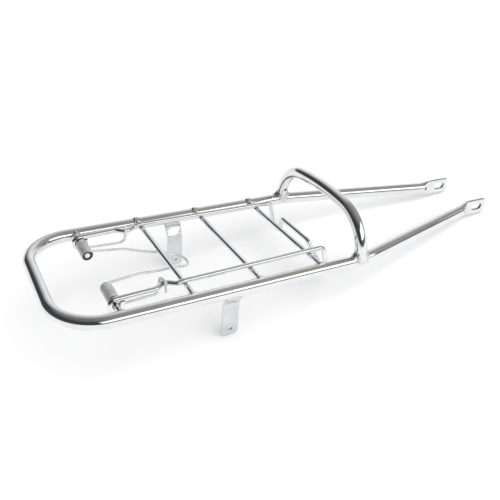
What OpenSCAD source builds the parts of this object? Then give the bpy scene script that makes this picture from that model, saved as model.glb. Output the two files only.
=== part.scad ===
// Rear luggage rack for a moped.
// One bent tube makes the carrier, with its two forward arms squashed into slotted tabs.
// A grab hoop, three crossbars, two strip brackets and two pins are welded to it.
// A sprung wire clamp swings on the pins and holds luggage down on the crossbars.
// +X runs forward to the slotted arms, +Y to the left side, +Z up.
// The origin is midway between the two bracket holes.

/* [Frame tube] */
// Outer diameter of the frame and handle tube
tube_d = 15; // [14:0.5:18]
// Wall thickness of the tube
tube_wall = 1.5; // [1:0.25:2]
// Width between the centrelines of the two side tubes
rack_w = 183; // [175:1:210]
// From the bracket holes back to the centreline of the rear run
rear_run = 188; // [184:1:230]
// Bend radius of the two rear corners, to the tube's centreline
corner_r = 51; // [35:1:55]
// Height of the tube's centreline above the bracket holes
deck_h = 56; // [50:1:70]

/* [Forward arms] */
// From the bracket holes forward to the bends that start the arms
arm_start = 170; // [166:1:190]
// Forward reach of the sloping length of each arm
arm_reach = 224; // [190:1:260]
// Width between the two arms' centrelines where the tabs start
arm_tip_w = 76; // [60:1:100]
// Rise of the arms from their bends to the tabs
arm_rise = 4.5; // [2:0.5:12]
// Bend radius at the start of each arm
arm_bend_r = 150; // [140:5:160]

/* [Slotted tabs] */
// Length of the tapering, squashed end of the tube
crush_l = 16; // [12:1:24]
// Length of the flat tab
tab_l = 35.5; // [32:0.5:50]
// Radius of the tab's two outer corners
tab_corner_r = 6; // [3:0.5:8]
// Overall length of the slot
slot_l = 19.5; // [14:0.5:22]
// Width of the slot
slot_w = 9.5; // [6:0.5:11]
// From the tab's tip to the nearer end of the slot
slot_edge = 6; // [5:0.5:9]
// Diameter of the drain hole in each arm
drain_d = 3.5; // [2:0.5:5]

/* [Grab handle] */
// Height of the hoop's centreline at its middle, above the deck's centreline
handle_h = 58; // [54:1:90]
// Bend radius of the hoop's two corners
handle_r = 51; // [30:1:52]
// Slope of the crowned top where it leaves each corner, in degrees
crown_deg = 6.4; // [3:0.2:10]
// Distance that the hoop stands behind the arms' bends
handle_back = 4.3; // [2:0.1:12]
// Diameter of the vent hole on the inner side of each leg
vent_d = 4; // [2:0.5:6]
// Height of the vent holes above the deck's centreline
vent_h = 17; // [14:1:22]

/* [Crossbars] */
// Diameter of the three crossbars
bar_d = 6; // [5:0.5:8]
// Spacing of the crossbars
bar_pitch = 80; // [70:1:84]
// Position of the middle crossbar, forward of the bracket holes
bar_x = 31.5; // [24:0.5:40]

/* [Brackets] */
// Width of the bracket strip
strip_w = 20; // [16:1:24]
// Thickness of the bracket strip
strip_t = 3; // [2:0.5:4]
// Width that the strip flares to under the tube
strip_top_w = 22; // [21:1:26]
// Width between the middles of the two hanging strips
strip_gap = 163.6; // [156:0.2:170]
// Height of the strip's bend above the hole
strip_bend_h = 34; // [26:1:38]
// From the hole down to the strip's lower end
strip_end = 10; // [9:0.5:16]
// Radius of the strip's lower corners
strip_corner_r = 6; // [3:0.5:8]
// Diameter of the bracket holes
hole_d = 7; // [5:0.5:9]

/* [Clamp pins] */
// Diameter of the two pins
pin_d = 6; // [5:0.5:7]
// From the bracket holes back to the pins
pin_back = 125.5; // [115:0.5:130]
// Height of the pins above the deck's centreline
pin_lift = 0.5; // [0:0.25:2]
// Width between the inner ends of the two pins
pin_gap = 72; // [70:1:90]

/* [Wire clamp] */
// Diameter of the clamp's wire
wire_d = 6; // [5:0.5:6.5]
// Inner bend radius of the clamp's wire
wire_bend = 5; // [3:0.5:6]
// Radial play of the eyes on their pins
eye_play = 0.6; // [0.4:0.1:1]
// Width between the clamp's rods at the eyes
eye_w = 137; // [134:1:142]
// Width between the clamp's rods at the front corners
front_w = 128; // [120:1:140]
// From the pins forward to the clamp's front corners
clamp_l = 256.5; // [250:0.5:262]
// Height that the front corners drop to the low stretch
clamp_drop = 36; // [30:1:40]
// Distance that the drops lean forward
clamp_lean = 10; // [4:1:12]
// Width between the low corners of the finger loop
loop_low_w = 96; // [90:1:100]
// Width between the top corners of the finger loop
loop_top_w = 61; // [50:1:70]
// Distance from the rods' height down to the finger loop's top
loop_down = 7.5; // [4:0.5:12]
// Upward tilt of the rods where they leave the eyes, in degrees
rod_tilt = 1.8; // [0.6:0.2:2.2]
// From the pins forward to the peak of each kink
kink_x = 53.5; // [50:0.5:55]
// Depth of the inward kink that keeps each spring hook in place, before it is rounded
kink_depth = 9.3; // [7:0.1:9.5]
// Gap left where the clamp lies on the crossbars
rest_gap = 0.3; // [0.3:0.1:1]

/* [Clamp spring] */
// Diameter of the spring's wire
spring_d = 3; // [2:0.25:3]
// Mean diameter of the coils
coil_d = 10.8; // [10.8:0.1:12]
// Turns in each coil, with the half turn between its two legs
coil_turns = 8.5; // [5.5:1:8.5]
// Width between the outer ends of the two coils
coil_w = 124; // [120:1:126]
// Gap between one turn and the next
turn_gap = 0.18; // [0.1:0.02:0.4]
// Width between the centre loop's two legs under the rear crossbar
spring_loop_w = 40; // [34:1:48]
// From the pins forward to the end of the centre loop
spring_loop_l = 107; // [98:1:115]
// Distance from the pins down to the end of the centre loop
spring_loop_down = 10; // [8:0.5:14]

/* [Welds] */
// Leg of the weld beads
weld_leg = 2.2; // [1:0.1:2.6]

/* [Hidden] */
$fn = 48;

CHROME = [0.80, 0.82, 0.84];
ZINC = [0.58, 0.59, 0.60];
WELD = [0.70, 0.71, 0.70];

// Bends stand a hair proud of the straight lengths, which run a little way into them
proud = 0.03;
tube_proud = 0.2;
lap = 0.2;

tube_r = tube_d / 2;
side_y = rack_w / 2;
bore_d = tube_d - 2 * tube_wall;

// Each arm turns inward and a little upward at its bend
arm_in = side_y - arm_tip_w / 2;
arm_l = norm([arm_reach, arm_in, arm_rise]);
arm_turn = acos(arm_reach / arm_l);
arm_roll = atan2(-arm_rise, arm_in);
arm_tangent = arm_bend_r * tan(arm_turn / 2);

// A squashed tube keeps its girth, so the tab's height follows from the tube
tab_t = 2 * tube_wall;
tab_h = PI * (tube_d - tube_wall) / 2;
tab_x = arm_start + arm_reach;
tab_y = arm_tip_w / 2;
tab_z = deck_h + arm_rise;
tab_end = tab_x + tab_l;
slot_x = tab_end - slot_edge - slot_l / 2;

// Crossbars lie with their tops level with the top of the frame tube
bar_z = deck_h + tube_r - bar_d / 2;
bar_xs = [bar_x - bar_pitch, bar_x, bar_x + bar_pitch];

// Crowned top of the hoop: one wide arc that meets the two corner arcs smoothly
handle_x = arm_start - handle_back;
crown_y = side_y - handle_r + handle_r * sin(crown_deg);
crown_r = crown_y / sin(crown_deg);
crown_drop = crown_r * (1 - cos(crown_deg));
lap_deg = asin(lap / crown_r);
corner_z = deck_h + handle_h - crown_drop - handle_r * cos(crown_deg);
// Each corner arc runs on down into its side tube, to a little above the centreline
foot_up = 1.2;
foot_deg = asin((corner_z - deck_h - foot_up) / handle_r);

strip_y = strip_gap / 2;
strip_top_z = deck_h - tube_r;
strip_slant = atan2(side_y - strip_y, strip_top_z - strip_bend_h);

pin_x = -pin_back;
pin_z = deck_h + pin_lift;
pin_end = pin_gap / 2;

// The clamp's rods leave the tops of the eyes and rise until they lie on the crossbars
wire_r = wire_bend + wire_d / 2;
eye_y = eye_w / 2;
eye_r = pin_d / 2 + eye_play + wire_d / 2;
clamp_z = bar_z + bar_d / 2 + rest_gap + wire_d / 2;
rod_start = [pin_x - eye_r * sin(rod_tilt), pin_z + eye_r * cos(rod_tilt)];
kink_back = 9;
kink_front = 13;
front_x = pin_x + clamp_l;
low_x = front_x + clamp_lean;
low_z = clamp_z - clamp_drop;
loop_top_x = front_x + clamp_lean * loop_down / clamp_drop - 2.5;

function rod_z(x) = rod_start[1] + (x - rod_start[0]) * tan(rod_tilt);
function rod_point(dx, dy) = [pin_x + dx, eye_y - dy, rod_z(pin_x + dx)];

CLAMP_HALF = [
    [rod_start[0], eye_y, rod_start[1]],
    rod_point(kink_x - kink_back, 0),
    rod_point(kink_x, kink_depth),
    rod_point(kink_x + kink_front, 0),
    [bar_xs[0] - bar_d / 2, eye_y, clamp_z],
    [front_x, front_w / 2, clamp_z],
    [low_x, front_w / 2, low_z],
    [low_x, loop_low_w / 2, low_z],
    [loop_top_x, loop_top_w / 2, clamp_z - loop_down]
];

// Turns a half path on the left side into the whole path, left to right
function whole(half) = concat(half, [for (i = [len(half) - 1 : -1 : 0])
    [half[i][0], -half[i][1], half[i][2]]]);

function unit(v) = v / norm(v);

// Geometry of one bend of a wire: the corner b between points a and c
function bend_angle(a, b, c) = acos(max(-1, min(1, unit(b - a) * unit(c - b))));
function bend_setback(a, b, c, r) = r * tan(bend_angle(a, b, c) / 2);
function bend_centre(a, b, c, r) = b + unit(unit(a - b) + unit(c - b)) * r
    / cos(bend_angle(a, b, c) / 2);

// Points of an arc that replaces the corner b, n + 1 of them
function arc_points(a, b, c, r, n) =
    let (w = bend_angle(a, b, c), m = bend_centre(a, b, c, r),
        s = bend_setback(a, b, c, r),
        e0 = b + unit(a - b) * s - m, e1 = b + unit(c - b) * s - m)
    [for (k = [0 : n]) m + (e0 * sin(w * (1 - k / n)) + e1 * sin(w * k / n)) / sin(w)];

// r is one radius for every corner, or a list with one for each
function rounded_path(p, r, n) = concat([p[0]],
    [for (i = [1 : len(p) - 2])
        each arc_points(p[i - 1], p[i], p[i + 1], is_list(r) ? r[i - 1] : r, n)],
    [p[len(p) - 1]]);

// Spring: hook over the clamp's kink, outer leg, coil on the pin, then the centre loop
coil_r = coil_d / 2;
coil_z = pin_z + 0.4;
coil_pitch = spring_d + turn_gap;
coil_out = coil_w / 2;
coil_in = coil_out - coil_turns * coil_pitch;
turn_steps = 16;
hook_r = (wire_d + spring_d) / 2 + 0.35;
hook_x = pin_x + kink_x;
hook_y = eye_y - kink_depth + 2.2;
hook_z = rod_z(hook_x);

HOOK = [
    [hook_x + 1.5, hook_y + hook_r + 0.3, hook_z - 9],
    [hook_x + 1, hook_y + hook_r + 0.3, hook_z + hook_r],
    [hook_x - 1.5, hook_y - hook_r - 0.3, hook_z + hook_r],
    [hook_x - 3, hook_y - hook_r - 0.3, hook_z - 8],
    [hook_x - 7, coil_out - 2.5, coil_z - coil_r],
    [pin_x + 12, coil_out, coil_z - coil_r],
    [pin_x, coil_out, coil_z - coil_r]
];

// Angles run from the bottom of the coil over its rear to the top
COIL = [for (i = [1 : coil_turns * turn_steps])
    let (a = 360 * i / turn_steps)
    [pin_x - coil_r * sin(a), coil_out - coil_pitch * i / turn_steps,
        coil_z - coil_r * cos(a)]];

LOOP = [
    [pin_x, coil_in, coil_z + coil_r],
    [pin_x + 10, coil_in, coil_z + coil_r - 0.8],
    [pin_x + 40, coil_in - 6.5, coil_z + coil_r - 1.2],
    [bar_xs[0] - 14, spring_loop_w / 2 + 3, bar_z - bar_d / 2 - spring_d / 2 - 0.4],
    [bar_xs[0] + 4, spring_loop_w / 2 - 2, bar_z - bar_d / 2 - spring_d / 2 - 3.4],
    [pin_x + spring_loop_l, 12, pin_z - spring_loop_down],
    [pin_x + spring_loop_l, 0, pin_z - spring_loop_down]
];

LOOP_BENDS = [5, 30, 25, 40, 13];

function spring_half() = concat(rounded_path(HOOK, 3.4, 6), COIL,
    [for (p = rounded_path(LOOP, LOOP_BENDS, 6)) if (p[1] > 0.01 && p[0] > pin_x + 1) p]);

SPRING = whole(spring_half());

// Frame of each ring of a swept wire, carried along without twisting
function tangents(p) = [for (i = [0 : len(p) - 1])
    unit(p[min(i + 1, len(p) - 1)] - p[max(i - 1, 0)])];
function flat_to(u, t) = unit(u - t * (u * t));
function normals(t) = [for (i = 0, u = flat_to([0, 1, 0.1], t[0]); i < len(t);
    i = i + 1, u = i < len(t) ? flat_to(u, t[i]) : u) u];

module swept_wire(p, d, sides) {
    t = tangents(p);
    u = normals(t);
    n = len(p);
    pts = [for (i = [0 : n - 1]) for (k = [0 : sides - 1])
        let (v = cross(t[i], u[i]), a = 360 * k / sides)
        p[i] + (u[i] * cos(a) + v * sin(a)) * d / 2];
    quads = [for (i = [0 : n - 2]) for (k = [0 : sides - 1])
        let (a = i * sides + k, b = i * sides + (k + 1) % sides)
        each [[a, a + sides, b], [b, a + sides, b + sides]]];
    ends = [[for (k = [0 : sides - 1]) k],
        [for (k = [sides - 1 : -1 : 0]) (n - 1) * sides + k]];
    polyhedron(points = pts, faces = concat(quads, ends), convexity = 8);
}

// Puts children with +X along the direction v
module aim(v) {
    rotate([0, -atan2(v[2], norm([v[0], v[1]])), atan2(v[1], v[0])]) children();
}

module rod_between(a, b, d) {
    translate(a) aim(b - a) rotate([0, 90, 0]) cylinder(h = norm(b - a), d = d);
}

// Part of a ring of wire that turns the corner b
module wire_bend(a, b, c, r, d) {
    w = bend_angle(a, b, c);
    m = bend_centre(a, b, c, r);
    x = unit(b + unit(a - b) * bend_setback(a, b, c, r) - m);
    y = unit(b - a);
    z = cross(x, y);
    multmatrix([[x[0], y[0], z[0], m[0]], [x[1], y[1], z[1], m[1]],
        [x[2], y[2], z[2], m[2]]])
        rotate_extrude(angle = w) translate([r, 0]) circle(d = d);
}

// Round wire along straight lengths with a bend at every corner.
// Both ends run on by one lap, into the eyes.
module bent_wire(p, r, d) {
    n = len(p);
    cut = [for (i = [0 : n - 1]) i == 0 || i == n - 1 ? 0
        : bend_setback(p[i - 1], p[i], p[i + 1], r)];
    for (i = [0 : n - 2]) {
        v = unit(p[i + 1] - p[i]);
        rod_between(p[i] + v * (cut[i] - lap), p[i + 1] - v * (cut[i + 1] - lap), d);
    }
    for (i = [1 : n - 2]) wire_bend(p[i - 1], p[i], p[i + 1], r, d + proud);
}

module right_side() {
    mirror([0, 1, 0]) children();
}

module both_sides() {
    children();
    right_side() children();
}

// The arm's own frame: X along the side tube, the arm bending toward -Y
module arm_frame() {
    translate([arm_start, side_y, deck_h]) rotate([arm_roll, 0, 0]) children();
}

module arm_axis() {
    arm_frame() rotate([0, 0, -arm_turn]) rotate([0, 90, 0]) children();
}

// Bend that starts the left arm. The hoop's foot stands on it.
module arm_bend(d) {
    arm_frame() translate([-arm_tangent, -arm_bend_r, 0])
        rotate([0, 0, 90 - arm_turn]) rotate_extrude(angle = arm_turn)
        translate([arm_bend_r, 0]) circle(d = d + tube_proud);
}

// Centreline shapes of the frame tube at diameter d, up to the squashed ends
module frame_run(d) {
    side_l = arm_start - arm_tangent - corner_r + rear_run;
    translate([-rear_run, 0, deck_h]) rotate([90, 0, 0])
        cylinder(h = rack_w - 2 * corner_r + 2 * lap, d = d, center = true);
    both_sides() {
        translate([corner_r - rear_run, side_y - corner_r, deck_h]) rotate([0, 0, 90])
            rotate_extrude(angle = 90) translate([corner_r, 0])
            circle(d = d + tube_proud);
        translate([corner_r - rear_run - lap, side_y, deck_h]) rotate([0, 90, 0])
            cylinder(h = side_l + 2 * lap, d = d);
        arm_bend(d);
        arm_axis() translate([0, 0, arm_tangent - lap])
            cylinder(h = arm_l - crush_l - arm_tangent + 2 * lap, d = d);
    }
}

// Tapering length between the round arm and the flat tab, for a tube of diameter d
module crush(d, t, h) {
    sides = 32;
    hull() {
        arm_axis() translate([0, 0, arm_l - crush_l])
            cylinder(h = 2 * lap, d = (d + 2 * proud) / cos(180 / sides), $fn = sides);
        translate([tab_x, tab_y - t / 2, tab_z - h / 2]) cube([2 * lap, t, h]);
    }
}

module tab_outline() {
    translate([0, -tab_h / 2]) square([tab_l - tab_corner_r, tab_h]);
    translate([0, tab_corner_r - tab_h / 2]) square([tab_l, tab_h - 2 * tab_corner_r]);
    for (s = [-1, 1])
        translate([tab_l - tab_corner_r, s * (tab_h / 2 - tab_corner_r)])
            circle(r = tab_corner_r);
}

module slot_outline() {
    square([slot_l - slot_w, slot_w], center = true);
    for (s = [-1, 1]) translate([s * (slot_l - slot_w) / 2, 0]) circle(d = slot_w);
}

module frame_tube() color(CHROME) {
    difference() {
        union() {
            frame_run(tube_d);
            both_sides() {
                crush(tube_d, tab_t + proud, tab_h + proud);
                translate([tab_x, tab_y + tab_t / 2, tab_z]) rotate([90, 0, 0])
                    linear_extrude(tab_t) tab_outline();
            }
        }
        frame_run(bore_d);
        both_sides() {
            crush(bore_d, 0.4, tab_h - 2 * tab_t);
            translate([slot_x, tab_y + tab_t, tab_z]) rotate([90, 0, 0])
                linear_extrude(2 * tab_t) slot_outline();
            translate([tab_x - crush_l / 2, 0, tab_z]) rotate([-90, 0, 0])
                cylinder(h = tab_y, d = drain_d);
        }
    }
}

// Full length of one side tube, used to cope what is welded to it
module side_tube() {
    translate([0, side_y, deck_h]) rotate([0, 90, 0])
        cylinder(h = 2 * rear_run, d = tube_d, center = true);
}

module hoop(d) {
    translate([handle_x, 0, 0]) {
        both_sides() {
            translate([0, side_y - handle_r, corner_z]) rotate([90, 0, 90])
                rotate([0, 0, -foot_deg]) rotate_extrude(angle = 90 - crown_deg + foot_deg)
                translate([handle_r, 0]) circle(d = d + tube_proud);
        }
        translate([0, 0, deck_h + handle_h - crown_r])
            rotate([90, 0, 90]) rotate([0, 0, 90 - crown_deg - lap_deg])
            rotate_extrude(angle = 2 * (crown_deg + lap_deg)) translate([crown_r, 0])
            circle(d = d);
    }
}

module grab_handle() color(CHROME) {
    difference() {
        hoop(tube_d);
        hoop(bore_d);
        both_sides() arm_bend(tube_d);
        both_sides() translate([handle_x, side_y - tube_d, deck_h + vent_h])
            rotate([-90, 0, 0]) cylinder(h = tube_d, d = vent_d);
    }
}

module rod_across(x, z, d, from) {
    translate([x, from, z]) rotate([-90, 0, 0]) cylinder(h = side_y - from, d = d);
}

module crossbar(x) {
    color(CHROME) difference() {
        translate([x, 0, bar_z]) rotate([90, 0, 0])
            cylinder(h = rack_w, d = bar_d, center = true);
        both_sides() side_tube();
    }
}

module crossbar_rear() crossbar(bar_xs[0]);
module crossbar_middle() crossbar(bar_xs[1]);
module crossbar_front() crossbar(bar_xs[2]);

// Bead round a rod that meets the left side tube
module rod_weld(x, z, d) {
    reach = tube_r + weld_leg;
    color(WELD) difference() {
        intersection() {
            translate([x, side_y - reach, z]) rotate([-90, 0, 0])
                cylinder(h = reach, r1 = d / 2 + weld_leg * 0.5, r2 = d / 2 + weld_leg);
            translate([x, side_y, deck_h]) rotate([0, 90, 0])
                cylinder(h = 4 * d, d = tube_d + 2 * weld_leg * 0.8, center = true);
            translate([x - 2 * d, 0, deck_h - tube_r])
                cube([4 * d, side_y, tube_d + weld_leg]);
        }
        side_tube();
        rod_across(x, z, d, 0);
    }
}

// Saddle bead round the foot of the left handle leg
module handle_weld() {
    color(WELD) difference() {
        intersection() {
            translate([handle_x, side_y, deck_h])
                cylinder(h = tube_r + 2 * weld_leg, r1 = tube_r + 2 * weld_leg,
                    r2 = tube_r + 0.3);
            translate([handle_x, side_y, deck_h]) rotate([0, 90, 0])
                cylinder(h = 3 * tube_d, d = tube_d + 2 * weld_leg, center = true);
        }
        arm_bend(tube_d);
        hoop(tube_d);
    }
}

// Side view of the bent strip, thickness strip_t, drawn as Y across and Z up
module strip_profile() {
    translate([strip_y - strip_t / 2, -strip_end]) square([strip_t, strip_bend_h + strip_end]);
    translate([strip_y, strip_bend_h]) circle(d = strip_t);
    translate([strip_y, strip_bend_h]) rotate(-strip_slant)
        translate([-strip_t / 2, 0])
        square([strip_t, (strip_top_z - strip_bend_h) / cos(strip_slant) + strip_t]);
}

// Face view of the strip, drawn as X across and Z up
module strip_face() {
    translate([-strip_w / 2, strip_corner_r - strip_end])
        square([strip_w, strip_bend_h + strip_end - strip_corner_r]);
    translate([strip_corner_r - strip_w / 2, -strip_end])
        square([strip_w - 2 * strip_corner_r, strip_corner_r]);
    for (s = [-1, 1])
        translate([s * (strip_w / 2 - strip_corner_r), strip_corner_r - strip_end])
            circle(r = strip_corner_r);
    polygon([[-strip_w / 2, strip_bend_h], [strip_w / 2, strip_bend_h],
        [strip_top_w / 2, strip_top_z], [strip_top_w / 2, deck_h],
        [-strip_top_w / 2, deck_h], [-strip_top_w / 2, strip_top_z]]);
}

module bracket() {
    color(CHROME) difference() {
        intersection() {
            translate([-strip_top_w / 2, 0, 0]) rotate([90, 0, 90])
                linear_extrude(strip_top_w) strip_profile();
            translate([0, side_y + tube_r, 0]) rotate([90, 0, 0])
                linear_extrude(side_y) strip_face();
        }
        side_tube();
        translate([0, strip_y - strip_t, 0]) rotate([-90, 0, 0])
            cylinder(h = 2 * strip_t, d = hole_d);
    }
}

module bracket_left() bracket();
module bracket_right() right_side() bracket();

// Two beads along the strip where it meets the underside of the tube
module bracket_weld() {
    color(WELD) difference() {
        for (s = [-1, 1])
            translate([0, side_y + s * weld_leg, strip_top_z - weld_leg * 0.2])
                rotate([0, 90, 0])
                cylinder(h = strip_top_w - 2, r = weld_leg * 0.8, center = true);
        side_tube();
        translate([-strip_top_w / 2, 0, 0]) rotate([90, 0, 90])
            linear_extrude(strip_top_w) strip_profile();
    }
}

module pin() {
    color(CHROME) difference() {
        rod_across(pin_x, pin_z, pin_d, pin_end);
        side_tube();
    }
}

module pin_left() pin();
module pin_right() right_side() pin();

// Open eye that wraps three quarters of the way round the pin and closes up to the rod
module clamp_eye() {
    translate([pin_x, eye_y, pin_z]) rotate([90, 0, 0]) rotate([0, 0, 90 + rod_tilt]) {
        rotate_extrude(angle = 270) translate([eye_r, 0]) circle(d = wire_d + proud);
        translate([-lap, -eye_r, 0]) rotate([0, 90, 0])
            cylinder(h = eye_r - wire_d / 2 - rest_gap + lap, d = wire_d);
    }
}

module clamp_bail() color(CHROME) {
    bent_wire(whole(CLAMP_HALF), wire_r, wire_d);
    both_sides() clamp_eye();
}

module clamp_spring() color(ZINC) {
    swept_wire(SPRING, spring_d, 8);
}

module handle_weld_left() handle_weld();
module handle_weld_right() right_side() handle_weld();
module rear_bar_weld_left() rod_weld(bar_xs[0], bar_z, bar_d);
module rear_bar_weld_right() right_side() rod_weld(bar_xs[0], bar_z, bar_d);
module middle_bar_weld_left() rod_weld(bar_xs[1], bar_z, bar_d);
module middle_bar_weld_right() right_side() rod_weld(bar_xs[1], bar_z, bar_d);
module front_bar_weld_left() rod_weld(bar_xs[2], bar_z, bar_d);
module front_bar_weld_right() right_side() rod_weld(bar_xs[2], bar_z, bar_d);
module bracket_weld_left() bracket_weld();
module bracket_weld_right() right_side() bracket_weld();
module pin_weld_left() rod_weld(pin_x, pin_z, pin_d);
module pin_weld_right() right_side() rod_weld(pin_x, pin_z, pin_d);

frame_tube();
grab_handle();
crossbar_rear();
crossbar_middle();
crossbar_front();
bracket_left();
bracket_right();
pin_left();
pin_right();
clamp_bail();
clamp_spring();
handle_weld_left();
handle_weld_right();
rear_bar_weld_left();
rear_bar_weld_right();
middle_bar_weld_left();
middle_bar_weld_right();
front_bar_weld_left();
front_bar_weld_right();
bracket_weld_left();
bracket_weld_right();
pin_weld_left();
pin_weld_right();
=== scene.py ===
"""Looks of the chrome luggage rack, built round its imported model.

Lengths are in millimetres until place() or MM_PER_M turns them into metres.
+X runs forward to the slotted arms, +Y to the left side, +Z up.
"""
import math
import bpy
from mathutils import Matrix, Vector


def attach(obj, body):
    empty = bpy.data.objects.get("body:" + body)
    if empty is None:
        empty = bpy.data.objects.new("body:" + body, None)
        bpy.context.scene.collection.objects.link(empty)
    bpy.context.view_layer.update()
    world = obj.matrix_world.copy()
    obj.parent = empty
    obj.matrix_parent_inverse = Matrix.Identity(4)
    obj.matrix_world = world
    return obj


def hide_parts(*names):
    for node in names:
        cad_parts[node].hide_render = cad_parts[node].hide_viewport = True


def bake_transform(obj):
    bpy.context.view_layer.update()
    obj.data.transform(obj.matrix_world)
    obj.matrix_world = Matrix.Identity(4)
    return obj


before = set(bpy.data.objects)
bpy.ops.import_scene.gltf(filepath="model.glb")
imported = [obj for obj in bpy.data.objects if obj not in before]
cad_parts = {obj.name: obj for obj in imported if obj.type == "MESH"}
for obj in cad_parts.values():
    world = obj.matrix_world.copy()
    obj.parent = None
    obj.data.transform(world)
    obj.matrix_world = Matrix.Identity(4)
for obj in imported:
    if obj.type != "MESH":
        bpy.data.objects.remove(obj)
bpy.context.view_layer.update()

MM_PER_M = 1000
SAME_PLACE = 2e-5           # metres: points nearer than this are at one place
MERGE_WITHIN = 5e-6         # metres: points nearer than this become one
FORWARD = Vector((1, 0, 0))
REARWARD = Vector((-1, 0, 0))
TO_LEFT = Vector((0, 1, 0))
TO_RIGHT = Vector((0, -1, 0))
SIDES = (("left", 1), ("right", -1))

# ---------------------------------------------------------------- sizes of the rack
# Bent tube
TUBE_R = 7.5
TUBE_WALL = 1.5
SIDE_Y = 91.5
DECK_Z = 56
REAR_X = -188
CORNER_R = 51
ARM_X = 170
ARM_BEND_R = 150

# Squashed and slotted ends of the arms. The tab's thickness and corners and the drain hole
# follow the photograph more closely than the solids do.
TAB_X = 394
TAB_Y = 38
TAB_Z = 60.5
TAB_LONG = 35.5
TAB_THICK = 3.8
TAB_TALL = math.pi * (2 * TUBE_R - TUBE_WALL) / 2
TAB_CORNER_R = 4
TAPER_LONG = 16
TAPER_RINGS = 12
TAPER_SPREAD = 4            # times the tab's thickness, before it is pressed flat
SLOT_LONG = 19.5
SLOT_WIDE = 9.5
SLOT_EDGE = 6
DRAIN_R = 2.5
DRAIN_IN = 5
DRAIN_DEEP = 13
CUT_PAST = 6                # how far a block reaches past what it cuts

# Grab hoop
HOOP_X = 165.7
HOOP_TALL = 58
HOOP_R = 51
CROWN = math.radians(6.4)
VENT_R = 2
VENT_UP = 17

# Crossbars
BAR_R = 3
BAR_XS = (-48.5, 31.5, 111.5)
BAR_Z = DECK_Z + TUBE_R - BAR_R

# Pins and wire clamp
PIN_X = -125.5
PIN_Z = 56.5
PIN_R = 3
WIRE_R = 3
WIRE_BEND_R = 8
EYE_Y = 68.5
EYE_PLAY = 0.6
EYE_R = PIN_R + EYE_PLAY + WIRE_R
EYE_TURN = math.radians(270)
EYE_END_GAP = 0.3
ROD_TILT = math.radians(1.8)
ROD_GAP = 0.3
CLAMP_Z = BAR_Z + BAR_R + ROD_GAP + WIRE_R
CLAMP_LONG = 256.5
FRONT_X = PIN_X + CLAMP_LONG
FRONT_Y = 64
FRONT_LEAN = 10
FRONT_DROP = 36
LOW_X = FRONT_X + FRONT_LEAN
LOW_Y = 48
LOW_Z = CLAMP_Z - FRONT_DROP
LOOP_DROP = 7.5
LOOP_BACK = 2.5
LOOP_TOP_X = FRONT_X + FRONT_LEAN * LOOP_DROP / FRONT_DROP - LOOP_BACK
LOOP_TOP_Y = 30.5
LOOP_TOP_Z = CLAMP_Z - LOOP_DROP
KINK_X = PIN_X + 53.5
KINK_IN = 9.3
KINK_AHEAD = 13
KINK_BEHIND = 9

# Clamp spring
SPRING_R = 1.5
COIL_R = 5.4
COIL_Z = PIN_Z + 0.4
COIL_PITCH = 3.18
COIL_TURNS = 8.5
COIL_OUT = 62
COIL_IN = COIL_OUT - COIL_TURNS * COIL_PITCH
# Painted shade between the coil's turns: full inside the first radius from the coils' middle
# line, gone past the second
GROOVE_SHADE_DEEP_R = COIL_R + 0.4
GROOVE_SHADE_TOP_R = COIL_R + 1.4
HOOK_R = WIRE_R + SPRING_R + 0.35
HOOK_REACH = HOOK_R + 0.3
HOOK_Y = EYE_Y - KINK_IN + 2.2
LEG_BEND_R = 3.4
LOOP_BEND_RS = (5, 30, 25, 40, 13)

# Strip brackets
STRIP_Y = 81.8
STRIP_WIDE = 20
STRIP_TOP_WIDE = 22
STRIP_THICK = 3
STRIP_BEND_Z = 34
STRIP_BEND_R = 4
STRIP_INTO_TUBE = 1.5
STRIP_LOW_Z = -10
STRIP_CORNER_R = 6
STRIP_EDGE_R = 0.5
BOLT_HOLE_R = 3.5

# Weld beads. Each ripple is its height, as a share of the bead, its count round the joint
# and its start.
HOOP_WELD_AHEAD = 6         # width before and behind the leg
HOOP_WELD_SIDE = 2          # width beside it
HOOP_WELD_TALL = 1.3        # times its width
HOOP_WELD_FALL = 2.5        # how far it hangs down beside the leg
HOOP_WELD_TUCK = 0.6        # how far it keeps in there, and inside the leg
HOOP_WELD_BULGE = 0.4
HOOP_WELD_SKIN = 0.1        # how far its edges stand off the tubes
HOOP_WELD_ROOT = 0.5        # how far it goes down inside the tube
HOOP_WELD_IN = 0.5          # the arm has begun to bend in here, and turns by this much
HOOP_WELD_TURN = math.radians(5)
HOOP_RIPPLES = ((0.07, 17, 0), (0.05, 29, 1))
PIN_WELD_R = 1.9
PIN_WELD_OUT = 0.8          # from the pin's surface to the middle of its bead
PIN_RIPPLES = ((0.08, 5, 0), (0.05, 11, 2))


def place(x, y, z):
    """A point given in millimetres, in metres."""
    return Vector((x, y, z)) / MM_PER_M


# ---------------------------------------------------------------- finishes
CLEAN_CHROME, HAZY_CHROME = (0.81, 0.82, 0.83), (0.74, 0.75, 0.76)
CLEAN_STRIP, HAZY_STRIP = (0.72, 0.73, 0.74), (0.62, 0.63, 0.64)
WELD_HOLLOW, WELD_LUMP = (0.62, 0.60, 0.57), (0.86, 0.86, 0.86)
PALE_ZINC, DULL_ZINC = (0.68, 0.69, 0.70), (0.50, 0.50, 0.49)
# Near black, painted on the spring's wire as shade between its turns
GROOVE_PAINTED_SHADE = (0.06, 0.06, 0.055)
# Near black for the walls of holes: painted shade inside them
BORE_PAINTED_SHADE = (0.03, 0.028, 0.026)
RUST = (0.17, 0.06, 0.03)
CUT_STEEL = (0.40, 0.40, 0.39)
EDGE_SPECULAR = 0.1
EDGE_DEPTH = 0.45           # how much of its colour a bare edge keeps in its dark patches


def new_finish(name):
    """A metal with its own node tree. Also gives its tree, shader and object coordinates."""
    finish = bpy.data.materials.new(name)
    finish.use_nodes = True
    tree = finish.node_tree
    shader = tree.nodes["Principled BSDF"]
    shader.inputs["Metallic"].default_value = 1.0
    where = tree.nodes.new("ShaderNodeTexCoord").outputs["Object"]
    return finish, tree, shader, where


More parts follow.
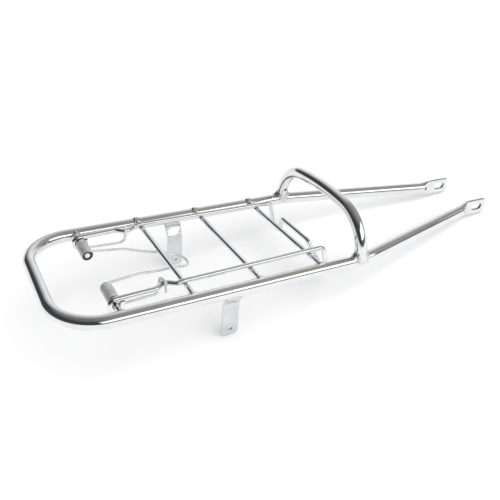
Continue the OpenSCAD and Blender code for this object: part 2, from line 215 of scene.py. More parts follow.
def grain(tree, where, scale, detail):
    """Soft noise of a given scale on the piece, mostly between 0.3 and 0.7."""
    noise = tree.nodes.new("ShaderNodeTexNoise")
    noise.inputs["Scale"].default_value = scale
    noise.inputs["Detail"].default_value = detail
    tree.links.new(where, noise.inputs["Vector"])
    return noise.outputs["Fac"]


def spread(tree, value, low, high, to_low, to_high):
    """Maps a value from one range to another, held at both ends."""
    span = tree.nodes.new("ShaderNodeMapRange")
    span.inputs["From Min"].default_value = low
    span.inputs["From Max"].default_value = high
    span.inputs["To Min"].default_value = to_low
    span.inputs["To Max"].default_value = to_high
    tree.links.new(value, span.inputs["Value"])
    return span.outputs["Result"]


def blend_colours(tree, factor, first, second):
    """Colour that runs from first to second with factor. Either may be a socket."""
    mix = tree.nodes.new("ShaderNodeMix")
    mix.data_type = "RGBA"
    tree.links.new(factor, mix.inputs["Factor"])
    for slot_name, colour in (("A", first), ("B", second)):
        socket = [s for s in mix.inputs if s.name == slot_name and s.type == "RGBA"][0]
        if isinstance(colour, tuple):
            socket.default_value = (*colour, 1)
        else:
            tree.links.new(colour, socket)
    return [s for s in mix.outputs if s.type == "RGBA"][0]


def colour_finish(tree, shader, factor, first, second):
    """Colours a finish from first to second with factor."""
    tree.links.new(blend_colours(tree, factor, first, second), shader.inputs["Base Color"])


def dull_finish(tree, shader, value, low, high, sharp, dull):
    """Roughness that runs from sharp to dull while the value runs from low to high."""
    tree.links.new(spread(tree, value, low, high, sharp, dull), shader.inputs["Roughness"])


def raise_surface(tree, shader, height, depth, strength, under=None):
    """Bump of a given depth, on top of another bump where one is given."""
    bump = tree.nodes.new("ShaderNodeBump")
    bump.inputs["Distance"].default_value = depth / MM_PER_M
    bump.inputs["Strength"].default_value = strength
    tree.links.new(height, bump.inputs["Height"])
    if under is not None:
        tree.links.new(under, bump.inputs["Normal"])
    tree.links.new(bump.outputs["Normal"], shader.inputs["Normal"])
    return bump.outputs["Normal"]


def make_bright_chrome():
    """Plated tube and wire: mirror bright, a little wavy, with a faint haze."""
    finish, tree, shader, where = new_finish("bright_chrome")
    haze = spread(tree, grain(tree, where, scale=45, detail=5), 0.35, 0.7, 0, 1)
    colour_finish(tree, shader, haze, CLEAN_CHROME, HAZY_CHROME)
    wear = grain(tree, where, scale=160, detail=6)
    dull_finish(tree, shader, wear, 0.3, 0.75, sharp=0.035, dull=0.12)
    wave = raise_surface(tree, shader, grain(tree, where, scale=30, detail=2),
                         depth=0.4, strength=0.15)
    raise_surface(tree, shader, grain(tree, where, scale=900, detail=3),
                  depth=0.02, strength=0.1, under=wave)
    return finish


def make_strip_chrome():
    """Plated strip: flat faces that mirror less sharply, slightly mottled."""
    finish, tree, shader, where = new_finish("strip_chrome")
    haze = grain(tree, where, scale=70, detail=5)
    colour_finish(tree, shader, spread(tree, haze, 0.35, 0.65, 0, 1), CLEAN_STRIP, HAZY_STRIP)
    dull_finish(tree, shader, haze, 0.3, 0.7, sharp=0.12, dull=0.26)
    raise_surface(tree, shader, grain(tree, where, scale=60, detail=2),
                  depth=0.3, strength=0.2)
    return finish


def make_weld_chrome():
    """Plated weld bead: lumpy, duller, brownish in its hollows."""
    finish, tree, shader, where = new_finish("weld_chrome")
    lumps = grain(tree, where, scale=420, detail=3)
    colour_finish(tree, shader, spread(tree, lumps, 0.38, 0.6, 0, 1), WELD_HOLLOW, WELD_LUMP)
    wear = grain(tree, where, scale=900, detail=3)
    dull_finish(tree, shader, wear, 0.3, 0.7, sharp=0.22, dull=0.4)
    raise_surface(tree, shader, lumps, depth=0.6, strength=0.35)
    return finish


def distance_from_coils(tree, where):
    """Distance from the line through the middle of both coils, in metres."""
    for operation, value in (("SUBTRACT", place(PIN_X, 0, COIL_Z)),
                             ("MULTIPLY", (1, 0, 1))):
        step = tree.nodes.new("ShaderNodeVectorMath")
        step.operation = operation
        step.inputs[1].default_value = value
        tree.links.new(where, step.inputs[0])
        where = step.outputs["Vector"]
    far = tree.nodes.new("ShaderNodeVectorMath")
    far.operation = "LENGTH"
    tree.links.new(where, far.inputs[0])
    return far.outputs["Value"]


def make_spring_zinc():
    """Zinc plated spring wire: dull, pale grey, darker in patches, with painted shade between
    the turns.
    """
    finish, tree, shader, where = new_finish("spring_zinc")
    shader.inputs["Metallic"].default_value = 0.45
    patches = grain(tree, where, scale=90, detail=4)
    zinc = blend_colours(tree, spread(tree, patches, 0.35, 0.68, 0, 1), PALE_ZINC, DULL_ZINC)
    # Painted shade: the wire goes near black where it faces in between the turns, by its
    # distance from the coils' middle line
    painted_groove_shade = spread(tree, distance_from_coils(tree, where),
                     GROOVE_SHADE_DEEP_R / MM_PER_M, GROOVE_SHADE_TOP_R / MM_PER_M, 1, 0)
    colour_finish(tree, shader, painted_groove_shade, zinc, GROOVE_PAINTED_SHADE)
    dull_finish(tree, shader, patches, 0.3, 0.7, sharp=0.16, dull=0.3)
    raise_surface(tree, shader, grain(tree, where, scale=1400, detail=4),
                  depth=0.03, strength=0.1)
    return finish


def make_bare_edge(name, colour, roughness, metallic):
    """Wall of a hole or a cut edge: dull, with uneven colour."""
    finish, tree, shader, where = new_finish(name)
    shader.inputs["Metallic"].default_value = metallic
    shader.inputs["Roughness"].default_value = roughness
    shader.inputs["Specular IOR Level"].default_value = EDGE_SPECULAR
    deep = tuple(c * EDGE_DEPTH for c in colour)
    patches = spread(tree, grain(tree, where, scale=600, detail=4), 0.35, 0.65, 0, 1)
    colour_finish(tree, shader, patches, colour, deep)
    return finish


bright_chrome = make_bright_chrome()
strip_chrome = make_strip_chrome()
weld_chrome = make_weld_chrome()
spring_zinc = make_spring_zinc()
# Hole walls painted near black, as painted shade inside the holes; the rusty one is the
# vent's real rust
painted_shade_bore = make_bare_edge("painted_shade_bore", BORE_PAINTED_SHADE, roughness=0.7, metallic=0)
rusty_bore = make_bare_edge("rusty_bore", RUST, roughness=0.85, metallic=0)
cut_edge = make_bare_edge("cut_edge", CUT_STEEL, roughness=0.35, metallic=0.8)


def give_finish(piece, finish):
    """Makes a finish the only one of a piece."""
    piece.data.materials.clear()
    piece.data.materials.append(finish)


# ---------------------------------------------------------------- bending tube and wire
def clear_selection():
    """Leaves edit mode with nothing selected."""
    if bpy.context.object and bpy.context.object.mode == "EDIT":
        bpy.ops.object.mode_set(mode="OBJECT")
    bpy.ops.object.select_all(action="DESELECT")


def apply_transform():
    """Moves the selected piece's place, turn and scale into its mesh."""
    bpy.ops.object.transform_apply(location=True, rotation=True, scale=True)


def name_new_piece(name):
    """Names the piece that was just added, and its mesh."""
    piece = bpy.context.object
    piece.name = piece.data.name = name
    return piece


def face_along(direction):
    """Turn of a flat ring or a cylinder that looks in a direction."""
    return direction.to_track_quat("Z", "Y").to_euler()


def lay_ring(name, at, along, radius, sides):
    """A ring of tube, square to the direction in which it is drawn out, in edit mode."""
    clear_selection()
    bpy.ops.mesh.primitive_circle_add(vertices=sides, radius=radius / MM_PER_M,
                                      location=at, rotation=face_along(along))
    ring = name_new_piece(name)
    apply_transform()
    bpy.ops.object.mode_set(mode="EDIT")
    bpy.ops.mesh.select_all(action="SELECT")
    return ring


def draw_out(step):
    """Draws the selected ring or edge out along a straight length."""
    bpy.ops.mesh.extrude_region_move(TRANSFORM_OT_translate={"value": step})


def bend_round(centre, axis, angle, steps):
    """Draws the selected ring or edge round a bend."""
    bpy.ops.mesh.spin(steps=steps, angle=-angle, center=centre, axis=axis)


def follow(corners, bend_rs, finest):
    """Draws the selected ring along straight lengths, with a bend at each inner corner.

    No step of a bend turns by more than the finest angle.
    """
    at = corners[0]
    for corner, after, radius in zip(corners[1:-1], corners[2:], bend_rs):
        before = (corner - at).normalized()
        onward = (after - corner).normalized()
        turn = before.angle(onward)
        setback = radius / MM_PER_M * math.tan(turn / 2)
        start = corner - before * setback
        axis = before.cross(onward).normalized()
        if (start - at).length > SAME_PLACE:
            draw_out(start - at)
        bend_round(start + axis.cross(before) * radius / MM_PER_M, axis, turn,
                   max(2, math.ceil(turn / finest)))
        at = corner + onward * setback
    draw_out(corners[-1] - at)


def pick_points(piece, wanted):
    """Selects the points for which wanted() holds, in edit mode."""
    if bpy.context.object.mode != "EDIT":
        bpy.ops.object.mode_set(mode="EDIT")
    bpy.ops.mesh.select_all(action="DESELECT")
    bpy.ops.object.mode_set(mode="OBJECT")
    for v in piece.data.vertices:
        v.select = bool(wanted(v.co))
    for e in piece.data.edges:
        e.select = all(piece.data.vertices[i].select for i in e.vertices)
    bpy.ops.object.mode_set(mode="EDIT")


def select_ring(piece, at, radius, along):
    """Selects the ring of points round a place on the line of a wire."""
    reach = 1.05 * radius / MM_PER_M
    pick_points(piece, lambda co: abs((co - at).dot(along)) < SAME_PLACE
                and (co - at).length < reach)


def close_end():
    """Closes the selected ring with a face."""
    bpy.ops.mesh.edge_face_add()


def finish_shell(piece, crease):
    """Merges, turns all faces outward and smooths all edges below the crease's angle."""
    bpy.ops.object.mode_set(mode="EDIT")
    bpy.ops.mesh.select_all(action="SELECT")
    bpy.ops.mesh.remove_doubles(threshold=MERGE_WITHIN)
    bpy.ops.mesh.normals_make_consistent(inside=False)
    bpy.ops.object.mode_set(mode="OBJECT")
    piece.select_set(True)
    bpy.ops.object.shade_smooth_by_angle(angle=math.radians(crease))


def mirror_left_to_right(piece):
    """Makes the other half of a piece whose middle is open at Y = 0."""
    bpy.ops.object.mode_set(mode="OBJECT")
    twin = piece.modifiers.new("other_side", "MIRROR")
    twin.use_axis = (False, True, False)
    twin.merge_threshold = SAME_PLACE
    bpy.ops.object.modifier_apply(modifier=twin.name)


def swap_sides(piece):
    """Turns a left piece into a right one."""
    piece.scale = (1, -1, 1)
    apply_transform()


def cut_away(piece, cutter, lining=None):
    """Cuts one shape out of a piece, whose new walls get the lining's finish."""
    if lining:
        give_finish(cutter, lining)
    clear_selection()
    bpy.context.view_layer.objects.active = piece
    piece.select_set(True)
    cut = piece.modifiers.new("cut", "BOOLEAN")
    cut.operation = "DIFFERENCE"
    cut.solver = "EXACT"
    cut.material_mode = "TRANSFER"
    cut.object = cutter
    bpy.ops.object.modifier_apply(modifier=cut.name)
    bpy.data.objects.remove(cutter)


def drill_across(at, radius, depth, sides=32):
    """A round cutter that runs from left to right, with its middle at a place."""
    clear_selection()
    bpy.ops.mesh.primitive_cylinder_add(vertices=sides, radius=radius / MM_PER_M,
                                        depth=depth / MM_PER_M, location=at,
                                        rotation=face_along(TO_LEFT))
    cutter = bpy.context.object
    apply_transform()
    return cutter


def plain_block(corner, opposite):
    """A block between two opposite corners."""
    clear_selection()
    bpy.ops.mesh.primitive_cube_add(size=1, location=(corner + opposite) / 2)
    block = bpy.context.object
    block.scale = [abs(side) for side in opposite - corner]
    apply_transform()
    return block


def round_edges_across(block, radius, segments):
    """Rounds the four edges of a block that run from left to right."""
    bpy.ops.object.mode_set(mode="EDIT")
    bpy.context.tool_settings.mesh_select_mode = (False, True, False)
    bpy.ops.mesh.select_all(action="DESELECT")
    bpy.ops.object.mode_set(mode="OBJECT")
    for e in block.data.edges:
        a, b = (block.data.vertices[i].co for i in e.vertices)
        e.select = abs(a.x - b.x) < SAME_PLACE and abs(a.z - b.z) < SAME_PLACE
    bpy.ops.object.mode_set(mode="EDIT")
    bpy.ops.mesh.bevel(offset=radius / MM_PER_M, segments=segments, affect="EDGES")
    bpy.context.tool_settings.mesh_select_mode = (True, False, False)
    bpy.ops.object.mode_set(mode="OBJECT")


# ---------------------------------------------------------------- frame tube
def squash_end(tube, start, end):
    """Draws the tube on to its tab in rings square to X, each pressed flatter."""
    tall = TAB_TALL / 2 / TUBE_R
    thin = TAB_THICK / 2 / TUBE_R
    before, last_squeeze, last_stretch = start, 1, 1
    for k in range(1, TAPER_RINGS + 1):
        t = k / TAPER_RINGS
        soft = t * t * (3 - 2 * t)
        squeeze = 1 + (thin * TAPER_SPREAD - 1) * soft
        stretch = 1 + (tall - 1) * soft
        half = TUBE_R * (1 + (thin - 1) * soft) / MM_PER_M
        here = start.lerp(end, t)
        draw_out(here - before)
        bpy.ops.transform.resize(
            value=(0, squeeze / last_squeeze, stretch / last_stretch), center_override=here)
        bpy.ops.object.mode_set(mode="OBJECT")
        for v in tube.data.vertices:
            if v.select:
                v.co.y = min(max(v.co.y, here.y - half), here.y + half)
        bpy.ops.object.mode_set(mode="EDIT")
        before, last_squeeze, last_stretch = here, squeeze, stretch


def cut_slotted_end(tube, side):
    """Rounds the tab's two corners and cuts its slot and the arm's drain hole."""
    y = side * TAB_Y
    tip = TAB_X + TAB_LONG
    for up in (1, -1):
        x, z = tip - TAB_CORNER_R, TAB_Z + up * (TAB_TALL / 2 - TAB_CORNER_R)
        corner = plain_block(place(x, y - CUT_PAST, z),
                             place(tip + CUT_PAST, y + CUT_PAST,
                                   TAB_Z + up * (TAB_TALL / 2 + CUT_PAST)))
        cut_away(corner, drill_across(place(x, y, z), TAB_CORNER_R, depth=16, sides=64))
        cut_away(tube, corner, cut_edge)
    middle = tip - SLOT_EDGE - SLOT_LONG / 2
    slot = plain_block(place(middle - SLOT_LONG / 2, y - CUT_PAST, TAB_Z - SLOT_WIDE / 2),
                       place(middle + SLOT_LONG / 2, y + CUT_PAST, TAB_Z + SLOT_WIDE / 2))
    just_short_of_half = SLOT_WIDE / 2 * 0.99
    round_edges_across(slot, just_short_of_half, segments=12)
    cut_away(tube, slot, cut_edge)
    drain = place(TAB_X - TAPER_LONG / 2, y - side * DRAIN_IN, TAB_Z)
    # The drain hole's wall gets painted shade
    cut_away(tube, drill_across(drain, DRAIN_R, DRAIN_DEEP), painted_shade_bore)


def bare_tab_edges(tube):
    """Gives the tabs' narrow sides the look of cut steel."""
    tabs_from = (TAB_X + 2) / MM_PER_M
    facing_sideways = 0.6
    edge = tube.data.materials.find(cut_edge.name)
    for face in tube.data.polygons:
        if face.center.x > tabs_from and abs(face.normal.y) < facing_sideways:
            face.material_index = edge


def make_frame_tube():
    """Bent tube, drawn from the middle of the rear run to one slotted end, then mirrored."""
    end = place(TAB_X, TAB_Y, TAB_Z)
    bend = place(ARM_X, SIDE_Y, DECK_Z)
    taper = end - (end - bend).normalized() * TAPER_LONG / MM_PER_M
    corners = [place(REAR_X, 0, DECK_Z), place(REAR_X, SIDE_Y, DECK_Z), bend, taper]
    tube = lay_ring("carrier_tube", corners[0], TO_LEFT, TUBE_R, sides=64)
    give_finish(tube, bright_chrome)
    follow(corners, (CORNER_R, ARM_BEND_R), finest=math.radians(3))
    squash_end(tube, taper, end)
    draw_out(place(TAB_LONG, 0, 0))
    close_end()
    mirror_left_to_right(tube)
    for _, side in SIDES:
        cut_slotted_end(tube, side)
    bare_tab_edges(tube)
    finish_shell(tube, crease=35)
    return tube


# ---------------------------------------------------------------- grab hoop
def make_grab_hoop():
    """Crowned hoop, drawn from the middle of its top to one foot, then mirrored."""
    crown_y = SIDE_Y - HOOP_R + HOOP_R * math.sin(CROWN)
    crown_r = crown_y / math.sin(CROWN)
    top_z = DECK_Z + HOOP_TALL
    corner_z = top_z - crown_r * (1 - math.cos(CROWN)) - HOOP_R * math.cos(CROWN)
    foot = math.asin((corner_z - DECK_Z) / HOOP_R)
    hoop = lay_ring("grab_hoop", place(HOOP_X, 0, top_z), TO_LEFT, TUBE_R, sides=64)
    give_finish(hoop, bright_chrome)
    bend_round(place(HOOP_X, 0, top_z - crown_r), REARWARD, CROWN, steps=6)
    bend_round(place(HOOP_X, SIDE_Y - HOOP_R, corner_z), REARWARD,
               math.pi / 2 - CROWN + foot, steps=32)
    close_end()
    mirror_left_to_right(hoop)
    for word, side in SIDES:
        vent = drill_across(place(HOOP_X, side * (SIDE_Y - TUBE_R), DECK_Z + VENT_UP),
                            VENT_R, depth=10)
        # The left vent's wall is rusty; the right vent's wall gets painted shade
        cut_away(hoop, vent, rusty_bore if word == "left" else painted_shade_bore)
    finish_shell(hoop, crease=35)
    return hoop


# ---------------------------------------------------------------- weld beads
def lay_torus(name, ring_r, bead_r, around, across, turn=(0, 0, 0)):
    """A plain ring of round section, to be shaped into a bead."""
    clear_selection()
    bpy.ops.mesh.primitive_torus_add(major_radius=ring_r, minor_radius=bead_r,
                                     major_segments=around, minor_segments=across,
                                     rotation=turn)
    ring = name_new_piece(name)
    apply_transform()
    return ring


def ripple(turn, ripples):
    """Unevenness of a bead at a point round its joint, where 1 is its even size."""
    return 1 + sum(high * math.sin(turn * count + start) for high, count, start in ripples)


def hoop_bead_point(round_leg, round_bead):
    """A point of the hoop's bead, from the crossing of the leg's and the tube's axes.

    The bead's outer face is a hollow curve from its toe, on the tube, up the leg. Its inner
    face runs back down inside both tubes. Beside the leg it is narrow and hangs lower.
    """
    ahead = abs(math.cos(round_leg))
    droop = (1 - ahead) ** 2
    wide = HOOP_WELD_SIDE + (HOOP_WELD_AHEAD - HOOP_WELD_SIDE) * ahead ** 1.3
    wide *= ripple(round_leg, HOOP_RIPPLES)
    tall = HOOP_WELD_TALL * wide
    fall = HOOP_WELD_FALL * droop
    if abs(round_bead) <= math.pi / 2:
        slope = (round_bead + math.pi / 2) / 2
        toe = 1 - math.sin(slope)
        out = (TUBE_R + HOOP_WELD_SKIN + (wide * ahead - HOOP_WELD_TUCK * droop) * toe
               + HOOP_WELD_BULGE * math.sin(2 * slope))
        up = HOOP_WELD_SKIN + tall * (1 - math.cos(slope)) - fall * toe
    else:
        back = (round_bead % math.tau - math.pi / 2) / math.pi
        out = TUBE_R - HOOP_WELD_TUCK + (wide * ahead + HOOP_WELD_SKIN) * back ** 2
        up = tall * (1 - back) ** 2 - HOOP_WELD_ROOT - fall * back ** 2
    across = out * math.sin(round_leg)
    saddle = math.sqrt(max(TUBE_R ** 2 - across ** 2, 0))
    return place(out * math.cos(round_leg), across, saddle + up)


def make_hoop_weld(name, side):
    """Fillet of weld round the hoop's foot, down on to the bend of the arm."""
    weld = lay_torus(name, ring_r=1, bead_r=0.25, around=96, across=24)
    for v in weld.data.vertices:
        v.co = hoop_bead_point(math.atan2(v.co.y, v.co.x),
                               math.atan2(v.co.z, math.hypot(v.co.x, v.co.y) - 1))
    weld.location = place(HOOP_X, side * (SIDE_Y - HOOP_WELD_IN), DECK_Z)
    weld.rotation_euler = (0, 0, -side * HOOP_WELD_TURN)
    apply_transform()
    finish_shell(weld, crease=60)
    give_finish(weld, weld_chrome)
    return weld


def make_pin_weld(name, side):
    """Lumpy bead round the foot of a pin, laid on the inner side of the tube."""
    bead = lay_torus(name, PIN_R + PIN_WELD_OUT, PIN_WELD_R, around=64, across=20,
                     turn=(math.pi / 2, 0, 0))
    for v in bead.data.vertices:
        x, y, z = v.co * ripple(math.atan2(v.co.z, v.co.x), PIN_RIPPLES)
        behind = TUBE_R - math.sqrt(TUBE_R ** 2 - (z + PIN_Z - DECK_Z) ** 2)
        v.co = place(PIN_X + x, side * (SIDE_Y - TUBE_R + behind) + y, PIN_Z + z)
    finish_shell(bead, crease=60)
    give_finish(bead, weld_chrome)
    return bead


# ---------------------------------------------------------------- wire clamp
def rod_height(x):
    """Height of a rod at x, where it rises, slightly tilted, from the top of its eye."""
    ahead = x - PIN_X + EYE_R * math.sin(ROD_TILT)
    return PIN_Z + EYE_R * math.cos(ROD_TILT) + ahead * math.tan(ROD_TILT)


def on_rod(x, inward=0):
    """A point on the line of the left rod, or that far inward of it."""
    return place(x, EYE_Y - inward, rod_height(x))


def make_wire_clamp():
    """Wire, drawn from the middle of the finger loop to one eye, then mirrored."""
    corners = [
        place(LOOP_TOP_X, 0, LOOP_TOP_Z),
        place(LOOP_TOP_X, LOOP_TOP_Y, LOOP_TOP_Z),
        place(LOW_X, LOW_Y, LOW_Z),
        place(LOW_X, FRONT_Y, LOW_Z),
        place(FRONT_X, FRONT_Y, CLAMP_Z),
        place(BAR_XS[0] - BAR_R, EYE_Y, CLAMP_Z),
        on_rod(KINK_X + KINK_AHEAD),
        on_rod(KINK_X, inward=KINK_IN),
        on_rod(KINK_X - KINK_BEHIND),
        on_rod(PIN_X - EYE_R * math.sin(ROD_TILT)),
    ]
    clamp = lay_ring("wire_clamp", corners[0], TO_LEFT, WIRE_R, sides=32)
    follow(corners, [WIRE_BEND_R] * (len(corners) - 2), finest=math.radians(5))
    bend_round(place(PIN_X, EYE_Y, PIN_Z), TO_RIGHT, EYE_TURN, steps=48)
    up = Vector((-math.sin(ROD_TILT), 0, math.cos(ROD_TILT)))
    draw_out(up * (EYE_R - WIRE_R - EYE_END_GAP) / MM_PER_M)
    close_end()
    mirror_left_to_right(clamp)
    finish_shell(clamp, crease=40)
    give_finish(clamp, bright_chrome)
    return clamp


# ---------------------------------------------------------------- clamp spring
def wind_coil(spring):
    """Winds the ring of wire into a coil, inward from its outer end."""
    bpy.ops.object.mode_set(mode="OBJECT")
    bpy.context.scene.cursor.location = place(PIN_X, 0, COIL_Z)
    bpy.ops.object.origin_set(type="ORIGIN_CURSOR")
    coil = spring.modifiers.new("coil", "SCREW")
    coil.axis = "Y"
    coil.angle = math.pi
    coil.screw_offset = -COIL_PITCH / 2 / MM_PER_M
    coil.iterations = int(COIL_TURNS * 2)
    coil.steps = coil.render_steps = 12
    coil.use_merge_vertices = False
    bpy.ops.object.modifier_apply(modifier=coil.name)
    apply_transform()


def draw_wire_on(spring, corners, bend_rs, finest):
    """Draws one end of the spring's wire on from its coil, and closes it."""
    select_ring(spring, corners[0], SPRING_R, FORWARD)
    follow(corners, bend_rs, finest)
    close_end()


def make_spring_half():
    """Left coil with its hooked outer leg and its half of the centre loop."""
    coil_bottom = COIL_Z - COIL_R
    coil_top = COIL_Z + COIL_R
    hook_z = rod_height(KINK_X)
    # Straight off the coil, in under the kink of the rod, up, over it and down outside
    leg = [
        place(PIN_X, COIL_OUT, coil_bottom),
        place(PIN_X + 12, COIL_OUT, coil_bottom),
        place(KINK_X - 7, COIL_OUT - 2.5, coil_bottom),
        place(KINK_X - 3, HOOK_Y - HOOK_REACH, hook_z - 8),
        place(KINK_X - 1.5, HOOK_Y - HOOK_REACH, hook_z + HOOK_R),
        place(KINK_X + 1, HOOK_Y + HOOK_REACH, hook_z + HOOK_R),
        place(KINK_X + 1.5, HOOK_Y + HOOK_REACH, hook_z - 9),
    ]
    under_bar = BAR_Z - BAR_R - SPRING_R
    loop_x, loop_z = PIN_X + 107, PIN_Z - 10
    # Off the top of the coil, inward and under the rear crossbar, to the loop's square end
    loop = [
        place(PIN_X, COIL_IN, coil_top),
        place(PIN_X + 3, COIL_IN, coil_top - 0.2),
        place(PIN_X + 40, COIL_IN - 6.5, coil_top - 1.2),
        place(BAR_XS[0] - 14, 23, under_bar - 0.4),
        place(BAR_XS[0] + 4, 18, under_bar - 3.4),
        place(loop_x, 12, loop_z),
        place(loop_x, 0, loop_z),
    ]
    spring = lay_ring("clamp_spring_left", leg[0], FORWARD, SPRING_R, sides=16)
    wind_coil(spring)
    draw_wire_on(spring, leg, [LEG_BEND_R] * (len(leg) - 2), finest=math.radians(12))
    draw_wire_on(spring, loop, LOOP_BEND_RS, finest=math.radians(9))
    finish_shell(spring, crease=60)
    give_finish(spring, spring_zinc)
    return spring


def make_other_half(spring_half):
    """The right half of the spring, wound the other way."""
    clear_selection()
    spring_half.select_set(True)
    bpy.context.view_layer.objects.active = spring_half
    bpy.ops.object.duplicate()
    other = name_new_piece("clamp_spring_right")
    swap_sides(other)
    finish_shell(other, crease=60)
    return other


# ---------------------------------------------------------------- strip brackets
def make_strip_bracket(name, side):
    """Flat strip, rounded at its lower corners, bent outward under the tube."""
    clear_selection()
    bpy.ops.mesh.primitive_plane_add(
        size=STRIP_WIDE / MM_PER_M, rotation=(math.pi / 2, 0, 0),
        location=place(0, STRIP_Y, STRIP_LOW_Z + STRIP_WIDE / 2))
    strip = name_new_piece(name)
    apply_transform()
    top = max(v.co.z for v in strip.data.vertices)
    rise = DECK_Z - TUBE_R - STRIP_BEND_Z
    slant = math.atan2(SIDE_Y - STRIP_Y, rise)
    bend_from_z = STRIP_BEND_Z - STRIP_BEND_R * math.tan(slant / 2)
    pick_points(strip, lambda co: co.z > top - SAME_PLACE)
    draw_out(Vector((0, 0, bend_from_z / MM_PER_M - top)))
    bend_round(place(0, STRIP_Y + STRIP_BEND_R, bend_from_z), REARWARD, slant, steps=8)
    reach = rise / math.cos(slant) + STRIP_INTO_TUBE
    draw_out(Vector((0, math.sin(slant), math.cos(slant))) * reach / MM_PER_M)
    bpy.ops.transform.resize(value=(STRIP_TOP_WIDE / STRIP_WIDE, 1, 1),
                             center_override=(0, 0, 0))
    pick_points(strip, lambda co: co.z < STRIP_LOW_Z / MM_PER_M + SAME_PLACE)
    bpy.ops.mesh.bevel(offset=STRIP_CORNER_R / MM_PER_M, segments=8, affect="VERTICES")
    bpy.ops.object.mode_set(mode="OBJECT")
    wall = strip.modifiers.new("wall", "SOLIDIFY")
    wall.thickness = STRIP_THICK / MM_PER_M
    wall.offset = 0
    bpy.ops.object.modifier_apply(modifier=wall.name)
    cut_away(strip, drill_across(place(0, STRIP_Y, 0), BOLT_HOLE_R, depth=12, sides=40))
    soft = strip.modifiers.new("soft_edges", "BEVEL")
    soft.width = STRIP_EDGE_R / MM_PER_M
    soft.segments = 3
    soft.limit_method = "ANGLE"
    soft.angle_limit = math.radians(50)
    bpy.ops.object.modifier_apply(modifier=soft.name)
    if side < 0:
        swap_sides(strip)
    finish_shell(strip, crease=30)
    give_finish(strip, strip_chrome)
    return strip


# ---------------------------------------------------------------- pieces and their bodies
carrier_tube = make_frame_tube()
grab_hoop = make_grab_hoop()
frame_welds = [(make_hoop_weld(f"hoop_weld_{word}", side), f"handle_weld_{word}")
               for word, side in SIDES]
frame_welds += [(make_pin_weld(f"pin_bead_{word}", side), f"pin_weld_{word}")
                for word, side in SIDES]
wire_clamp = make_wire_clamp()
spring_left = make_spring_half()
spring_right = make_other_half(spring_left)
brackets = [(make_strip_bracket(f"strip_bracket_{word}", side), f"bracket_{word}")
            for word, side in SIDES]

for piece, node in [(carrier_tube, "frame_tube"), (grab_hoop, "grab_handle")] + brackets:
    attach(piece, "rack")
    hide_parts(node)
for weld, node in frame_welds:
    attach(weld, "rack")
    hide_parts(node)
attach(wire_clamp, "clamp")
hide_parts("clamp_bail")
for half, side in ((spring_left, 1), (spring_right, -1)):
    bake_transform(half)
    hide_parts("clamp_spring")

for name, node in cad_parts.items():
    give_finish(node, weld_chrome if "weld" in name else bright_chrome)


# ---------------------------------------------------------------- floor, lights and camera
FLOOR_SIZE = 12             # metres
FLOOR_GAP = 0.2
FLOOR_COLOUR = (0.925, 0.925, 0.93)
BRIGHT_WALL = (0.95, 0.95, 0.96)
OLIVE_OVERHEAD = (0.36, 0.35, 0.32)
GLOOM = (0.055, 0.055, 0.06)
WHITE = (1, 1, 1)
SEEN_WHITE = 1.0            # brightness of the white room, as the camera sees it
FILL_WHITE = 0.6            # and as it lights the rack and the floor

# Softbox and sky lamp, in metres
SOFTBOX_AT = Vector((0.9, -1.8, 1.24))
SOFTBOX_AIM = Vector((0.1, 0, 0.05))
SOFTBOX_WIDE = 3.2
SOFTBOX_TALL = 1.1
SOFTBOX_WATTS = 16
SKY_DIRECTION = Vector((-0.25, 0.55, -1))
SKY_ANGLE = math.radians(70)
SKY_STRENGTH = 1.9

CAMERA_AT = place(-269.0, -569.4, 423.8)
CAMERA_TURN = math.radians(-30.57)
CAMERA_TIP = math.radians(30.01)
CAMERA_ROLL = math.radians(4.45)
FOCAL_PIXELS = 611.88
PICTURE_PIXELS = 500
SENSOR = 36


def stand(thing, at, across, along, out):
    """Puts a thing at a place, with its own three axes in the given directions."""
    axes = Matrix((across, along, out)).transposed().to_4x4()
    thing.matrix_world = Matrix.Translation(at) @ axes


def show_mixed(tree, factor, first, second, output):
    """Sends a mix of two shaders to the output: first at factor 0, second at 1."""
    pick = tree.nodes.new("ShaderNodeMixShader")
    tree.links.new(factor, pick.inputs["Fac"])
    tree.links.new(first, pick.inputs[1])
    tree.links.new(second, pick.inputs[2])
    tree.links.new(pick.outputs["Shader"], tree.nodes[output].inputs["Surface"])


def make_floor():
    """Pale floor on which the brackets' lower ends and the tabs stand, clear from below."""
    heel = place(STRIP_WIDE / 2 - STRIP_CORNER_R, 0, STRIP_LOW_Z + STRIP_CORNER_R)
    toe = place(TAB_X + TAB_LONG - TAB_CORNER_R, 0, TAB_Z - TAB_TALL / 2 + TAB_CORNER_R)
    way = (toe - heel).normalized()
    up = Vector((-way.z, 0, way.x))
    clear_selection()
    bpy.ops.mesh.primitive_plane_add(size=FLOOR_SIZE)
    floor = bpy.context.object
    floor.name = "floor"
    stand(floor, heel - up * (STRIP_CORNER_R + FLOOR_GAP) / MM_PER_M, way, TO_LEFT, up)
    paper = bpy.data.materials.new("pale_floor")
    paper.use_nodes = True
    tree = paper.node_tree
    shader = tree.nodes["Principled BSDF"]
    shader.inputs["Base Color"].default_value = (*FLOOR_COLOUR, 1)
    shader.inputs["Roughness"].default_value = 0.9
    shader.inputs["Specular IOR Level"].default_value = 0.1
    from_below = tree.nodes.new("ShaderNodeNewGeometry").outputs["Backfacing"]
    clear = tree.nodes.new("ShaderNodeBsdfTransparent")
    show_mixed(tree, from_below, shader.outputs["BSDF"], clear.outputs["BSDF"],
               "Material Output")
    floor.data.materials.append(paper)


def combine(tree, first, second, operation):
    """Result of one sum on two values."""
    step = tree.nodes.new("ShaderNodeMath")
    step.operation = operation
    tree.links.new(first, step.inputs[0])
    tree.links.new(second, step.inputs[1])
    return step.outputs["Value"]


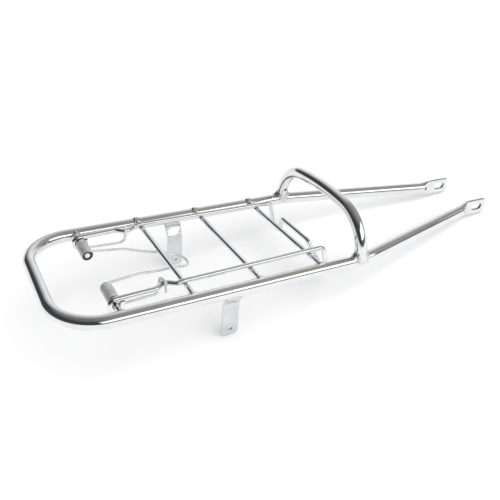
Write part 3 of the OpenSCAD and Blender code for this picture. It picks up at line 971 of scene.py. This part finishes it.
def make_room():
    """What the chrome mirrors, by the direction in which a ray leaves it.

    There is olive overhead, a bright wall on the left, gloom to the rear and low on the
    right, and bright paper below. All other rays meet plain white.
    """
    world = bpy.data.worlds.new("room")
    bpy.context.scene.world = world
    world.use_nodes = True
    tree = world.node_tree
    direction = tree.nodes.new("ShaderNodeTexCoord").outputs["Generated"]
    parts = tree.nodes.new("ShaderNodeSeparateXYZ")
    tree.links.new(direction, parts.inputs["Vector"])
    x, y, z = (parts.outputs[axis] for axis in "XYZ")

    left_wall = spread(tree, y, 0.25, 0.75, 0, 1)
    upper = blend_colours(tree, left_wall, OLIVE_OVERHEAD, BRIGHT_WALL)
    rear = combine(tree, spread(tree, x, 0.37, -0.24, 0, 1),
                   spread(tree, z, 0.66, 0.9, 1, 0.6), "MULTIPLY")
    low_right = combine(tree, spread(tree, z, 0.45, 0.15, 0, 1),
                        spread(tree, y, 0.2, -0.1, 0, 0.75), "MULTIPLY")
    wall = blend_colours(tree, combine(tree, rear, low_right, "MAXIMUM"), upper, GLOOM)
    paper_top = combine(tree, spread(tree, y, -0.1, 0.5, 0, 0.24),
                        spread(tree, x, -0.2, -0.55, 1, 0.3), "MULTIPLY")
    above_paper = spread(tree, combine(tree, z, paper_top, "SUBTRACT"), -0.04, 0.06, 0, 1)
    room = tree.nodes["Background"]
    tree.links.new(blend_colours(tree, above_paper, BRIGHT_WALL, wall), room.inputs["Color"])

    white = tree.nodes.new("ShaderNodeBackground")
    rays = tree.nodes.new("ShaderNodeLightPath")
    white.inputs["Color"].default_value = (*WHITE, 1)
    tree.links.new(spread(tree, rays.outputs["Is Camera Ray"], 0, 1, FILL_WHITE, SEEN_WHITE),
                   white.inputs["Strength"])
    show_mixed(tree, rays.outputs["Is Glossy Ray"], white.outputs["Background"],
               room.outputs["Background"], "World Output")


def add_lamp(name, kind, power, at, aim):
    """A lamp at one place that faces another."""
    lamp = bpy.data.lights.new(name, kind)
    lamp.energy = power
    holder = bpy.data.objects.new(name, lamp)
    bpy.context.scene.collection.objects.link(holder)
    holder.location = at
    holder.rotation_euler = (aim - at).to_track_quat("-Z", "Y").to_euler()
    return holder


def add_lights():
    """A wide softbox on the camera's side, and even light with soft shadows from above."""
    softbox = add_lamp("front_softbox", "AREA", SOFTBOX_WATTS, SOFTBOX_AT, SOFTBOX_AIM)
    softbox.data.shape = "RECTANGLE"
    softbox.data.size = SOFTBOX_WIDE
    softbox.data.size_y = SOFTBOX_TALL
    sky = add_lamp("sky_lamp", "SUN", SKY_STRENGTH, Vector((0, 0, 0)), SKY_DIRECTION)
    sky.data.angle = SKY_ANGLE
    sky.visible_glossy = False


def set_camera():
    """Camera at the photograph's place and angle."""
    forward = Vector((-math.sin(CAMERA_TURN) * math.cos(CAMERA_TIP),
                      math.cos(CAMERA_TURN) * math.cos(CAMERA_TIP), -math.sin(CAMERA_TIP)))
    right = Vector((math.cos(CAMERA_TURN), math.sin(CAMERA_TURN), 0))
    up = right.cross(forward)
    across = right * math.cos(CAMERA_ROLL) + up * math.sin(CAMERA_ROLL)
    upright = up * math.cos(CAMERA_ROLL) - right * math.sin(CAMERA_ROLL)
    lens = bpy.data.cameras.new("camera")
    lens.sensor_width = SENSOR
    lens.lens = FOCAL_PIXELS / PICTURE_PIXELS * SENSOR
    lens.clip_start, lens.clip_end = 0.01, 50
    camera = bpy.data.objects.new("camera", lens)
    bpy.context.scene.collection.objects.link(camera)
    stand(camera, CAMERA_AT, across, upright, -forward)
    bpy.context.scene.camera = camera


make_floor()
make_room()
add_lights()
set_camera()
bpy.context.scene.view_settings.view_transform = "Standard"
